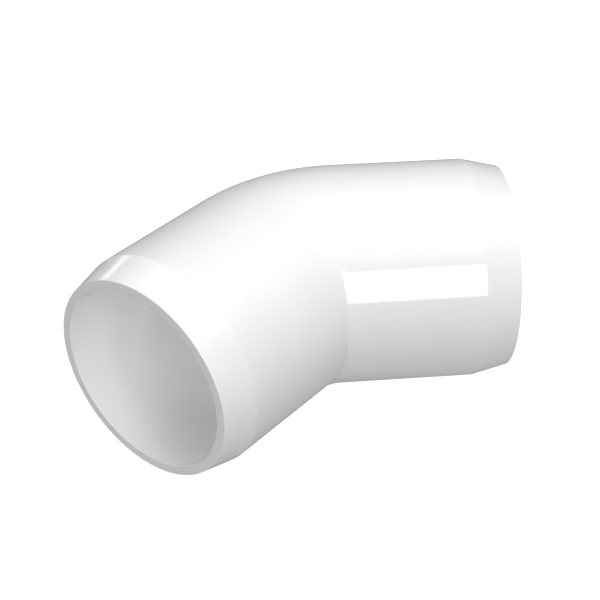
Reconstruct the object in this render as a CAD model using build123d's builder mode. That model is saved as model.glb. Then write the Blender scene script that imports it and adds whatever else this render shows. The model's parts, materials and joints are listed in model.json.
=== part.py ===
"""Forty-five degree elbow for rigid tube: one moulding with a socket at each end.

The elbow lies flat with its bend plane level. +X runs along its length, +Y points to
the outer side of the bend, and the origin is the middle of its footprint on the surface
that it rests on. Sizes are in millimetres and angles in degrees.
"""

from build123d import *
import os
from math import atan2, cos, radians, sin

# The tube that the sockets take
tube_diameter = 33.4
tube_bore = 26.6

# Socket: the tube slides in until its end meets the stop
socket_gap = 0.05
socket_depth = 28.6
socket_wall = 3.25

# The tapered end of each hub, down to a thin flat rim
taper_length = 6.4
rim_wall = 1.75

# The bend between the two hubs
bend_angle = 45.0
bend_inner_radius = 0.4
stop_to_bend = 1.8

# Small roundings left by the mould
rim_rounding = 0.15
stop_rounding = 0.5

# Radii about the axis of the tube
passage_radius = tube_bore / 2
socket_radius = tube_diameter / 2 + socket_gap
body_radius = socket_radius + socket_wall
rim_radius = socket_radius + rim_wall

# The bend is an arc about an upright axis, and each hub is straight from its end
half_bend = radians(bend_angle / 2)
bend_radius = body_radius + bend_inner_radius
hub_length = stop_to_bend + socket_depth
arc_rise = bend_radius * (1 - cos(half_bend))

# How far each hub reaches to the inner side, measured from the end of the bend: to the
# rounded corner of the rim, or to the crease where the taper starts
taper_slope = atan2(body_radius - rim_radius, taper_length)
corner_reach = rim_radius + rim_rounding * (sin(taper_slope) - 1) / cos(taper_slope)
rim_reach = (hub_length - rim_rounding) * sin(half_bend) + corner_reach * cos(half_bend) + rim_rounding
crease_reach = (hub_length - taper_length) * sin(half_bend) + body_radius * cos(half_bend)
inner_reach = arc_rise + max(rim_reach, crease_reach)

# Places: the arc's middle sits off the origin so that the footprint is centred
arc_middle_y = (inner_reach - body_radius) / 2
bend_centre = Vector(0, arc_middle_y - bend_radius, body_radius)
hub_start = bend_centre + Vector(bend_radius * sin(half_bend), bend_radius * cos(half_bend), 0)
hub_direction = Vector(cos(half_bend), -sin(half_bend), 0)
bend_axis = Axis(bend_centre, Vector(0, 0, 1))
hub_axis = Axis(hub_start, hub_direction)

# Planes: across the tube where the hub starts, and along the hub through its axis
across_hub = Plane(origin=hub_start, z_dir=hub_direction)
along_hub = Plane(origin=hub_start, x_dir=hub_direction, z_dir=hub_direction.cross(Vector(0, 0, 1)))

with BuildPart() as elbow:
    # The bend: a ring section carried round the upright axis to the other hub
    with BuildSketch(across_hub):
        Circle(body_radius)
        Circle(passage_radius, mode=Mode.SUBTRACT)
    revolve(axis=bend_axis, revolution_arc=bend_angle)

    # One hub: passage, stop, socket, rim, taper and body as a section turned about its axis
    with BuildSketch(along_hub) as hub_section:
        with BuildLine():
            Polyline(
                (0, passage_radius),
                (stop_to_bend, passage_radius),
                (stop_to_bend, socket_radius),
                (hub_length, socket_radius),
                (hub_length, rim_radius),
                (hub_length - taper_length, body_radius),
                (0, body_radius),
                close=True,
            )
        make_face()
        rim_corners = hub_section.vertices().group_by(Axis.X)[-1]
        fillet(rim_corners, radius=rim_rounding)
        stop_corner = hub_section.vertices().group_by(Axis.X)[1].sort_by(Axis.Y)[0]
        fillet(stop_corner, radius=stop_rounding)
    hub = revolve(axis=hub_axis)

    # The other hub is its mirror image
    mirror(hub, about=Plane.YZ)

elbow.part.label = "elbow_body"

os.makedirs("parts", exist_ok=True)
export_step(elbow.part, "parts/elbow_body.step")
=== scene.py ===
"""Finished look of a forty-five degree slip elbow moulded in gloss white PVC.

The elbow is one moulding, so one closed surface stands for it: the outline of its wall
(body, taper, rim, socket, stop and passage) carried along the bent centreline and round it.
Everything is in metres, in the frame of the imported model.
"""

import json
import logging
import math
from dataclasses import dataclass, field
from enum import Enum

import bpy
import numpy as np
from mathutils import Matrix, Vector


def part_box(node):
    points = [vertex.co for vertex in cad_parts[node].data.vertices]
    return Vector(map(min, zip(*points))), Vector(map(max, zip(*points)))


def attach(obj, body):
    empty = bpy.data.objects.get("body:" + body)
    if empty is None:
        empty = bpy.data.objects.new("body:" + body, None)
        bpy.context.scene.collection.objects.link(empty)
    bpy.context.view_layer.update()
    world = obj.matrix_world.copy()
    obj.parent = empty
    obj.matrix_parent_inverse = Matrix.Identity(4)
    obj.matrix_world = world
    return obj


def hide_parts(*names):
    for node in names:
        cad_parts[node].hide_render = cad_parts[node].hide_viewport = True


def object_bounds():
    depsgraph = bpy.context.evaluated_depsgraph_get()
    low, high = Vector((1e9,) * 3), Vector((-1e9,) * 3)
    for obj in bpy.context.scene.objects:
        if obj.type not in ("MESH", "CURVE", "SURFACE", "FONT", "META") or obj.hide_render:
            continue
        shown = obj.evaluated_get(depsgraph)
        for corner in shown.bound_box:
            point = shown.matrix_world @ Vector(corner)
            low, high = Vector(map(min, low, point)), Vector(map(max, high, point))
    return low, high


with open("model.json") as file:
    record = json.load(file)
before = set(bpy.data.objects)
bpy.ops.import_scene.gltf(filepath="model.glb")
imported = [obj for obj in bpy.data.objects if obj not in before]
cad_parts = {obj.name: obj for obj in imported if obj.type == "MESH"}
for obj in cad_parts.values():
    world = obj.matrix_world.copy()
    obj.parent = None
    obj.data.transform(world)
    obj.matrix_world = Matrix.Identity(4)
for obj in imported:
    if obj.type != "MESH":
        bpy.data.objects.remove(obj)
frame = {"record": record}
CAD_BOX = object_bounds()

MM = 0.001
BODY_NODE = "elbow_body"
ROOT_BODY = "root"

log = logging.getLogger("elbow")


# ---------------------------------------------------------------- shapes

@dataclass(frozen=True)
class Centreline:
    """The line down the middle of the tube: an arc in the level bend plane, straight beyond its ends.

    Stations are lengths along the line, 0 at the middle of the arc and positive towards +X.
    """

    half_angle: float
    bend_radius: float
    bend_centre: tuple[float, float, float]

    @property
    def half_arc(self) -> float:
        """Length of the line from the middle of the arc to its end."""
        return self.bend_radius * self.half_angle

    def frames(self, stations: np.ndarray) -> tuple[np.ndarray, np.ndarray]:
        """Places and side directions of the line.

        At an angle a from the middle, the arc's point is its centre plus the bend radius
        times (sin a, cos a). Past the arc's end a stays at its limit, and what is left of
        the length is laid off along the tangent (cos a, -sin a).

        Args:
            stations: lengths along the line.

        Returns:
            The points on the line and the unit vectors to the outer side of the bend.
        """
        angle = np.clip(stations / self.bend_radius, -self.half_angle, self.half_angle)
        level = np.zeros_like(angle)
        outward = np.stack([np.sin(angle), np.cos(angle), level], axis=-1)
        along = np.stack([np.cos(angle), -np.sin(angle), level], axis=-1)
        beyond = (stations - angle * self.bend_radius)[:, None]
        points = np.array(self.bend_centre) + self.bend_radius * outward + beyond * along
        return points, outward

    def carry(self, outline: np.ndarray, around: int) -> np.ndarray:
        """Carries an outline of (station, radius) pairs round the line.

        The surface point is the line's point plus the radius times
        (cos p, along the outward direction, plus sin p, straight up), for p once round.

        Args:
            outline: pairs of station and radius, shape (n, 2).
            around: number of points once round the tube.

        Returns:
            Points of the surface, shape (n, around, 3).
        """
        points, outward = self.frames(outline[:, 0])
        turn = np.linspace(0.0, 2.0 * np.pi, around, endpoint=False)
        up = np.array([0.0, 0.0, 1.0])
        ring = np.cos(turn)[None, :, None] * outward[:, None, :] + np.sin(turn)[None, :, None] * up
        return points[:, None, :] + outline[:, 1][:, None, None] * ring


@dataclass(frozen=True)
class Corner:
    """A corner of the wall's outline, with the number of steps in the stretch that leads to it."""

    station: float
    radius: float
    lead_steps: int = 0
    rounding: float = 0.0
    round_steps: int = 0

    @property
    def place(self) -> np.ndarray:
        """The corner as a (station, radius) pair."""
        return np.array([self.station, self.radius])


def eased_run(start: np.ndarray, end: np.ndarray, steps: int) -> np.ndarray:
    """Points strictly between two places, closer together towards both.

    The share of the way at step k of n is (1 - cos(pi k / n)) / 2.

    Args:
        start: first place, left out.
        end: last place, left out.
        steps: number of steps from start to end.

    Returns:
        The points between, shape (steps - 1, 2).
    """
    share = (1.0 - np.cos(np.pi * np.arange(1, steps) / steps)) / 2.0
    return start + share[:, None] * (end - start)


def rounded_corner(before: np.ndarray, corner: Corner, after: np.ndarray) -> np.ndarray:
    """The arc that rounds a corner, tangent to both of its sides.

    With a half-angle h between the sides, the arc starts rounding / tan h from the corner
    and its centre is rounding / sin h away. Its radius vector turns evenly from side to side.

    Args:
        before: the outline's place before the corner.
        corner: the corner itself.
        after: the outline's place after the corner.

    Returns:
        The arc's points with both ends, or the bare corner where it has no rounding.
    """
    place = corner.place
    if corner.rounding == 0.0:
        return place[None, :]
    back = (before - place) / np.linalg.norm(before - place)
    ahead = (after - place) / np.linalg.norm(after - place)
    half = math.acos(float(back @ ahead)) / 2.0
    middle = (back + ahead) / np.linalg.norm(back + ahead)
    centre = place + middle * corner.rounding / math.sin(half)
    first = place + back * corner.rounding / math.tan(half) - centre
    last = place + ahead * corner.rounding / math.tan(half) - centre
    sweep = math.pi - 2.0 * half
    share = np.linspace(0.0, 1.0, corner.round_steps + 1)[:, None]
    return centre + (np.sin((1.0 - share) * sweep) * first + np.sin(share * sweep) * last) / math.sin(sweep)


def rounded_outline(corners: list[Corner]) -> np.ndarray:
    """Joins corners into one open outline of eased stretches and rounding arcs.

    Args:
        corners: the corners in order; the first and last have no rounding.

    Returns:
        Pairs of station and radius from the first corner to the last, shape (n, 2).
    """
    places = [corner.place for corner in corners]
    outline = places[0][None, :]
    for index in range(1, len(corners)):
        after = places[min(index + 1, len(corners) - 1)]
        arc = rounded_corner(places[index - 1], corners[index], after)
        run = eased_run(outline[-1], arc[0], corners[index].lead_steps)
        outline = np.concatenate([outline, run, arc])
    return outline


def closed_grid_mesh(name: str, points: np.ndarray) -> bpy.types.Mesh:
    """Makes a smooth mesh from a grid of points that closes on itself both ways.

    Each face joins a point, the next one in its row and the two beside them in the next row.

    Args:
        name: name of the mesh.
        points: grid of points, shape (rows, columns, 3), rows in the outline's order.

    Returns:
        The mesh, with its faces outwards.
    """
    rows, columns = points.shape[:2]
    index = np.arange(rows * columns).reshape(rows, columns)
    across = np.roll(index, -1, axis=1)
    quads = np.stack([index, across, np.roll(across, -1, axis=0), np.roll(index, -1, axis=0)], axis=-1)
    mesh = bpy.data.meshes.new(name)
    mesh.vertices.add(rows * columns)
    mesh.vertices.foreach_set("co", points.reshape(-1).astype(np.float32))
    mesh.loops.add(quads.size)
    mesh.loops.foreach_set("vertex_index", quads.reshape(-1).astype(np.int32))
    mesh.polygons.add(rows * columns)
    mesh.polygons.foreach_set("loop_start", np.arange(0, quads.size, 4, dtype=np.int32))
    mesh.update(calc_edges=True)
    mesh.polygons.foreach_set("use_smooth", np.ones(rows * columns, dtype=bool))
    mesh.validate()
    return mesh


# ---------------------------------------------------------------- finishes

class NodeSheet:
    """A node tree with short calls for adding and joining nodes."""

    def __init__(self, tree: bpy.types.NodeTree) -> None:
        """Takes the node tree to fill, and clears it."""
        self.tree = tree
        tree.nodes.clear()

    def add(self, kind: str, inputs: dict | None = None, **settings: object) -> bpy.types.Node:
        """Adds a node.

        Args:
            kind: the node's type name.
            inputs: socket name or index to a value, or to an output socket to join.
            settings: the node's own properties.

        Returns:
            The new node.
        """
        node = self.tree.nodes.new(kind)
        for key, value in settings.items():
            setattr(node, key, value)
        for key, value in (inputs or {}).items():
            if isinstance(value, bpy.types.NodeSocket):
                self.tree.links.new(value, node.inputs[key])
            else:
                node.inputs[key].default_value = value
        return node

    def math(self, operation: str, *values: object) -> bpy.types.NodeSocket:
        """Adds a Math node that works on numbers or output sockets, and gives its output."""
        node = self.add("ShaderNodeMath", dict(enumerate(values)), operation=operation)
        return node.outputs[0]

    def remap(self, value: bpy.types.NodeSocket, band: tuple[float, float],
              low: float, high: float) -> bpy.types.NodeSocket:
        """Adds a Map Range node that stretches a band of values over low to high, held at both ends.

        Args:
            value: the output socket to map.
            band: the values that become low and high.
            low: result at the band's start and below it.
            high: result at the band's end and above it.

        Returns:
            The node's output.
        """
        node = self.add("ShaderNodeMapRange", {
            "Value": value,
            "From Min": band[0],
            "From Max": band[1],
            "To Min": low,
            "To Max": high,
        })
        return node.outputs[0]

    def bump(self, height: bpy.types.NodeSocket, depth: float,
             under: bpy.types.NodeSocket | None = None) -> bpy.types.NodeSocket:
        """Adds a Bump node.

        Args:
            height: the pattern of heights, from 0 to 1.
            depth: how far apart the heights 0 and 1 are, in metres.
            under: normal of a coarser bump that this one lies on.

        Returns:
            The bumped normal.
        """
        inputs = {"Strength": 1.0, "Distance": depth, "Height": height}
        if under is not None:
            inputs["Normal"] = under
        return self.add("ShaderNodeBump", inputs).outputs["Normal"]


@dataclass(frozen=True)
class Mottle:
    """A cloudy pattern through the plastic: clouds per metre, finer layers and their weight, and swirl."""

    scale: float
    detail: float
    roughness: float
    distortion: float = 0.0

    def draw(self, sheet: NodeSheet, place: bpy.types.NodeSocket) -> bpy.types.NodeSocket:
        """Adds the pattern to a sheet.

        Args:
            sheet: the node tree's sheet.
            place: the coordinates that the pattern follows.

        Returns:
            The pattern's output, from 0 to 1.
        """
        node = sheet.add("ShaderNodeTexNoise", {
            "Vector": place,
            "Scale": self.scale,
            "Detail": self.detail,
            "Roughness": self.roughness,
            "Distortion": self.distortion,
        })
        return node.outputs["Fac"]


@dataclass(frozen=True)
class GlossPvc:
    """Rigid white PVC straight from a polished mould: neutral white under a hard gloss.

    A band is the range of a pattern's values over which the tone or the polish changes. The
    light that glows through the skin spreads as far in red as in green and blue.
    """

    name: str = "gloss_white_pvc"
    white: float = 0.92
    tone_change: float = 0.012
    flow: Mottle = Mottle(scale=60.0, detail=3.0, roughness=0.5, distortion=0.6)
    flow_band: tuple[float, float] = (0.3, 0.7)
    smoothest: float = 0.045
    roughest: float = 0.075
    wear: Mottle = Mottle(scale=240.0, detail=5.0, roughness=0.65)
    wear_band: tuple[float, float] = (0.3, 0.75)
    sinks: Mottle = Mottle(scale=240.0, detail=1.0, roughness=0.3)
    sink_depth: float = 0.0035 * MM
    grain: Mottle = Mottle(scale=5200.0, detail=2.0, roughness=0.5)
    grain_depth: float = 0.0006 * MM
    refraction: float = 1.55
    glow_through: float = 0.06
    glow_depth: float = 1.2 * MM
    glow_spread: tuple[float, float, float] = (1.0, 1.0, 1.0)

    def material(self) -> bpy.types.Material:
        """Builds the plastic: flow tone, uneven gloss, shallow sink marks and mould grain.

        Returns:
            The finished material.
        """
        material = bpy.data.materials.new(self.name)
        material.use_nodes = True
        sheet = NodeSheet(material.node_tree)
        place = sheet.add("ShaderNodeTexCoord").outputs["Object"]
        darkest = self.white - self.tone_change
        lightest = self.white + self.tone_change
        tone = sheet.remap(self.flow.draw(sheet, place), self.flow_band, darkest, lightest)
        polish = sheet.remap(self.wear.draw(sheet, place), self.wear_band, self.smoothest, self.roughest)
        waves = sheet.bump(self.sinks.draw(sheet, place), self.sink_depth)
        skin = sheet.bump(self.grain.draw(sheet, place), self.grain_depth, under=waves)
        shader = sheet.add("ShaderNodeBsdfPrincipled", {
            "Base Color": tone,
            "Roughness": polish,
            "Normal": skin,
            "IOR": self.refraction,
            "Subsurface Weight": self.glow_through,
            "Subsurface Radius": self.glow_spread,
            "Subsurface Scale": self.glow_depth,
        })
        sheet.add("ShaderNodeOutputMaterial", {"Surface": shader.outputs[0]})
        return material


# ---------------------------------------------------------------- the elbow

@dataclass
class Elbow:
    """The moulding: a bend with a tapered hub and a stopped socket at each end.

    The last six values are read from the frame, or worked out from what it says.
    """

    bend_inner_radius: float = 0.4 * MM
    stop_to_bend: float = 1.8 * MM
    taper_length: float = 6.4 * MM
    rim_wall: float = 1.75 * MM
    passage_radius: float = 13.3 * MM
    rim_rounding: float = 0.15 * MM
    stop_rounding: float = 0.5 * MM
    root_rounding: float = 0.25 * MM
    crease_rounding: float = 0.2 * MM
    around: int = 240
    body_radius: float = field(init=False)
    socket_radius: float = field(init=False)
    wall_length: float = field(init=False)
    line: Centreline = field(init=False)
    wall_start: float = field(init=False)
    mouth: float = field(init=False)

    def __post_init__(self) -> None:
        """Reads the body's height and the socket's place, direction and radius from the frame.

        The hub's axis crosses the middle plane at the crossing, and the bend's centre is the
        bend radius over the cosine of the half angle to the inner side of that.
        """
        low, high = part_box(BODY_NODE)
        mounts = {mount["name"]: mount for mount in frame["record"]["mounts"]}
        socket = mounts["socket_right"]
        middle = Vector(socket["pos_m"])
        direction = Vector(socket["axis"])
        self.body_radius = (high.z - low.z) / 2.0
        self.socket_radius = socket["dims"]["r_mm"] * MM
        self.wall_length = socket["dims"]["length_mm"] * MM
        half_angle = math.atan2(-direction.y, direction.x)
        bend_radius = self.body_radius + self.bend_inner_radius
        crossing_y = middle.y - middle.x * direction.y / direction.x
        centre_y = crossing_y - bend_radius / math.cos(half_angle)
        self.line = Centreline(half_angle, bend_radius, (0.0, centre_y, middle.z))
        self.wall_start = self.line.half_arc + self.stop_to_bend
        self.mouth = self.wall_start + self.wall_length + self.rim_rounding

    def passage_middle(self) -> Vector:
        """Middle of the passage, halfway round the bend."""
        points, _ = self.line.frames(np.array([0.0]))
        return Vector(points[0])

    def half_outline(self) -> np.ndarray:
        """Outline of the wall of one half, from the middle of the bend out to the rim and back inside.

        Returns:
            Pairs of station and radius, shape (n, 2).
        """
        tangent = self.line.half_arc
        rim_radius = self.socket_radius + self.rim_wall
        # Each corner: station, radius, steps that lead to it, rounding and steps of the rounding
        return rounded_outline([
            Corner(0.0, self.body_radius),
            Corner(tangent, self.body_radius, 22),
            Corner(self.mouth - self.taper_length, self.body_radius, 22, self.crease_rounding, 4),
            Corner(self.mouth, rim_radius, 12, self.rim_rounding, 10),
            Corner(self.mouth, self.socket_radius, 8, self.rim_rounding, 10),
            Corner(self.wall_start, self.socket_radius, 24, self.root_rounding, 5),
            Corner(self.wall_start, self.passage_radius, 8, self.stop_rounding, 8),
            Corner(tangent, self.passage_radius, 4),
            Corner(0.0, self.passage_radius, 22),
        ])

    def build(self) -> bpy.types.Object:
        """Builds the moulding as one closed surface.

        Returns:
            The elbow's object.
        """
        half = self.half_outline()
        other_half = half[-2:0:-1] * np.array([-1.0, 1.0])
        surface = self.line.carry(np.concatenate([half, other_half]), self.around)
        piece = bpy.data.objects.new("elbow_moulding", closed_grid_mesh("elbow_moulding", surface))
        bpy.context.scene.collection.objects.link(piece)
        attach(piece, ROOT_BODY)
        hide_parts(BODY_NODE)
        return piece

    def dress(self, piece: bpy.types.Object, plastic: GlossPvc) -> None:
        """Gives the moulding its plastic."""
        piece.data.materials.append(plastic.material())


# ---------------------------------------------------------------- the studio

def heading(azimuth: float, elevation: float) -> Vector:
    """Unit vector from the object towards a place in the studio.

    Args:
        azimuth: degrees round from the -Y side towards +X.
        elevation: degrees above the floor.

    Returns:
        The direction.
    """
    turn = math.radians(azimuth)
    climb = math.radians(elevation)
    return Vector((math.sin(turn) * math.cos(climb), -math.cos(turn) * math.cos(climb), math.sin(climb)))


@dataclass(frozen=True)
class Glow:
    """A soft patch of light on the studio's surroundings, brightest along its own direction."""

    azimuth: float
    elevation: float
    strength: float
    tightness: float


@dataclass(frozen=True)
class Softbox:
    """A rectangular soft light in front of the object, and facing it."""

    name: str = "front_softbox"
    azimuth: float = -5.5
    elevation: float = 19.5
    distance: float = 2.4
    width: float = 1.42
    height: float = 1.38
    radiance: float = 4.5

    def build(self, target: Vector) -> None:
        """Hangs the light so that it looks at a point.

        An area light of power P and area A shines with a radiance of P / (pi A).

        Args:
            target: the point that it faces.
        """
        light = bpy.data.lights.new(self.name, "AREA")
        light.shape = "RECTANGLE"
        light.size = self.width
        light.size_y = self.height
        light.energy = self.radiance * math.pi * self.width * self.height
        lamp = bpy.data.objects.new(self.name, light)
        back = heading(self.azimuth, self.elevation)
        lamp.rotation_mode = "QUATERNION"
        lamp.rotation_quaternion = (-back).to_track_quat("-Z", "Y")
        lamp.location = target + back * self.distance
        lamp.visible_camera = False
        bpy.context.scene.collection.objects.link(lamp)


@dataclass(frozen=True)
class PassageLamp:
    """A small soft lamp inside the bend, which stands for the light that comes through the white wall."""

    name: str = "passage_lamp"
    power: float = 0.00245
    radius: float = 5.0 * MM

    def build(self, place: Vector) -> None:
        """Hangs the lamp, out of sight of the camera and of reflections.

        Args:
            place: the lamp's middle.
        """
        light = bpy.data.lights.new(self.name, "POINT")
        light.energy = self.power
        light.shadow_soft_size = self.radius
        lamp = bpy.data.objects.new(self.name, light)
        lamp.location = place
        lamp.visible_camera = False
        lamp.visible_glossy = False
        bpy.context.scene.collection.objects.link(lamp)


@dataclass(frozen=True)
class Studio:
    """Pale floor and backdrop, glowing surroundings, one softbox and the lamp in the passage.

    The backdrop's foot and crown are angles above the level of the floor, in radians.
    """

    floor_size: float = 3.6
    floor_glow: float = 0.93
    floor_reflectance: float = 0.35
    backdrop_radius: float = 1.7
    backdrop_foot: float = -0.2
    backdrop_crown: float = 0.5 * math.pi - 0.01
    backdrop_rows: int = 24
    backdrop_around: int = 96
    backdrop_glow: float = 1.0
    backdrop_reflectance: float = 0.0
    glows: tuple[Glow, ...] = (
        # From above: overhead, right, back and back left, and one tight patch in front
        Glow(0.0, 90.0, 1.3, 8.0),
        Glow(60.0, 60.0, 1.95, 8.0),
        Glow(-180.0, 60.0, 0.9, 8.0),
        Glow(-150.0, 30.0, 0.7, 8.0),
        Glow(-3.0, 50.0, 1.0, 80.0),
        # Level with the elbow: the left side, and two tight patches at the back
        Glow(-60.0, 0.0, 1.15, 8.0),
        Glow(172.0, -14.0, 0.22, 30.0),
        Glow(-179.0, 9.0, 2.0, 300.0),
        # From below, for the light that a pale table would send up
        Glow(135.0, -30.0, 0.33, 8.0),
        Glow(-135.0, -30.0, 0.28, 8.0),
        Glow(90.0, -60.0, 0.27, 6.0),
        Glow(0.0, -90.0, 0.27, 4.0),
    )
    softbox: Softbox = Softbox()
    passage_lamp: PassageLamp = PassageLamp()

    def light_surroundings(self) -> None:
        """Lights the studio with the sum of its glows.

        A glow adds its strength times the cosine of the angle from its direction, no less
        than 0, raised to its tightness.
        """
        world = bpy.data.worlds.new("studio")
        bpy.context.scene.world = world
        world.use_nodes = True
        sheet = NodeSheet(world.node_tree)
        ray = sheet.add("ShaderNodeTexCoord").outputs["Generated"]
        total: bpy.types.NodeSocket | float = 0.0
        for glow in self.glows:
            facing = sheet.add("ShaderNodeVectorMath", {0: ray, 1: heading(glow.azimuth, glow.elevation)},
                               operation="DOT_PRODUCT")
            lobe = sheet.math("POWER", sheet.math("MAXIMUM", facing.outputs["Value"], 0.0), glow.tightness)
            total = sheet.math("MULTIPLY_ADD", lobe, glow.strength, total)
        light = sheet.add("ShaderNodeBackground", {"Color": (1.0, 1.0, 1.0, 1.0), "Strength": total})
        sheet.add("ShaderNodeOutputWorld", {"Surface": light.outputs[0]})

    def stage_material(self, name: str, glow: float, reflectance: float) -> bpy.types.Material:
        """A pale stage surface that shines a little of its own, so shadows on it stay faint.

        Args:
            name: the material's name.
            glow: radiance that it gives off by itself.
            reflectance: share of the light on it that it scatters.

        Returns:
            The material.
        """
        material = bpy.data.materials.new(name)
        material.use_nodes = True
        sheet = NodeSheet(material.node_tree)
        shine = sheet.add("ShaderNodeEmission", {"Color": (1.0, 1.0, 1.0, 1.0), "Strength": glow})
        paper = sheet.add("ShaderNodeBsdfDiffuse", {"Color": (reflectance, reflectance, reflectance, 1.0)})
        both = sheet.add("ShaderNodeAddShader", {0: shine.outputs[0], 1: paper.outputs[0]})
        sheet.add("ShaderNodeOutputMaterial", {"Surface": both.outputs[0]})
        return material

    def floor_mesh(self) -> bpy.types.Mesh:
        """The floor: a level square under the elbow.

        Returns:
            The mesh, facing up.
        """
        half = self.floor_size / 2.0
        corners = [(-half, -half, 0.0), (half, -half, 0.0), (half, half, 0.0), (-half, half, 0.0)]
        mesh = bpy.data.meshes.new("floor")
        mesh.from_pydata(corners, [], [(0, 1, 2, 3)])
        return mesh

    def backdrop_mesh(self) -> bpy.types.Mesh:
        """The backdrop: a dome from a little below the floor to a pinhole at its crown.

        At a climb c and a turn t the point is the radius times (cos c cos t, cos c sin t, sin c).

        Returns:
            The mesh, facing inwards.
        """
        turn = np.linspace(0.0, 2.0 * np.pi, self.backdrop_around, endpoint=False)
        climb = np.linspace(self.backdrop_foot, self.backdrop_crown, self.backdrop_rows)[:, None]
        height = np.repeat(np.sin(climb), self.backdrop_around, axis=1)
        dome = np.stack([np.cos(climb) * np.cos(turn), np.cos(climb) * np.sin(turn), height], axis=-1)
        points = self.backdrop_radius * dome
        index = np.arange(height.size).reshape(height.shape)
        across = np.roll(index, -1, axis=1)
        quads = np.stack([index[:-1], index[1:], across[1:], across[:-1]], axis=-1)
        mesh = bpy.data.meshes.new("backdrop")
        mesh.from_pydata(points.reshape(-1, 3).tolist(), [], quads.reshape(-1, 4).tolist())
        return mesh

    def build_stage(self) -> None:
        """Lays the floor and closes the studio with the backdrop, both seen by the camera alone."""
        floor = bpy.data.objects.new("floor", self.floor_mesh())
        floor_paper = self.stage_material("pale_floor", self.floor_glow, self.floor_reflectance)
        floor.data.materials.append(floor_paper)
        backdrop = bpy.data.objects.new("backdrop", self.backdrop_mesh())
        backdrop_paper = self.stage_material("pale_backdrop", self.backdrop_glow, self.backdrop_reflectance)
        backdrop.data.materials.append(backdrop_paper)
        for piece in (floor, backdrop):
            bpy.context.scene.collection.objects.link(piece)
            piece.visible_diffuse = False
            piece.visible_glossy = False
            piece.visible_transmission = False
            piece.visible_shadow = False

    def build(self, target: Vector, passage_middle: Vector) -> None:
        """Builds the stage and every light.

        Args:
            target: the point that the softbox faces.
            passage_middle: the place of the lamp inside.
        """
        self.build_stage()
        self.light_surroundings()
        self.softbox.build(target)
        self.passage_lamp.build(passage_middle)


@dataclass(frozen=True)
class ProductCamera:
    """The camera: an 85 mm lens looking down at the elbow from its inner side."""

    name: str = "product_camera"
    azimuth: float = -28.788
    elevation: float = 35.913
    distance: float = 255.06 * MM
    roll: float = 0.414
    aim_offset: tuple[float, float, float] = (-1.343 * MM, 0.2015 * MM, -0.663 * MM)
    lens: float = 85.0
    sensor: float = 36.0
    clip_start: float = 10.0 * MM

    def build(self, centre: Vector) -> None:
        """Places the camera and makes it the scene's own.

        Args:
            centre: middle of the elbow's box.
        """
        data = bpy.data.cameras.new(self.name)
        data.lens = self.lens
        data.sensor_width = self.sensor
        data.clip_start = self.clip_start
        camera = bpy.data.objects.new(self.name, data)
        back = heading(self.azimuth, self.elevation)
        level = (-back).to_track_quat("-Z", "Y").to_matrix().to_4x4()
        tilt = Matrix.Rotation(math.radians(self.roll), 4, "Z")
        place = Matrix.Translation(centre + Vector(self.aim_offset) + back * self.distance)
        camera.matrix_world = place @ level @ tilt
        bpy.context.scene.collection.objects.link(camera)
        bpy.context.scene.camera = camera


class Look(Enum):
    """How scene values are turned into display values."""

    PLAIN = "Standard"


# ---------------------------------------------------------------- the whole scene


def main() -> None:
    """Builds the elbow, the studio and the camera, and reports each."""
    logging.basicConfig(level=logging.INFO, format="%(name)s: %(message)s")
    elbow = Elbow()
    moulding = elbow.build()
    elbow.dress(moulding, GlossPvc())
    log.info("%s: %d faces", moulding.name, len(moulding.data.polygons))

    centre = (CAD_BOX[0] + CAD_BOX[1]) / 2.0
    Studio().build(centre, elbow.passage_middle())
    ProductCamera().build(centre)
    bpy.context.scene.view_settings.view_transform = Look.PLAIN.value
    log.info("studio and camera placed")


if __name__ == "__main__":
    main()
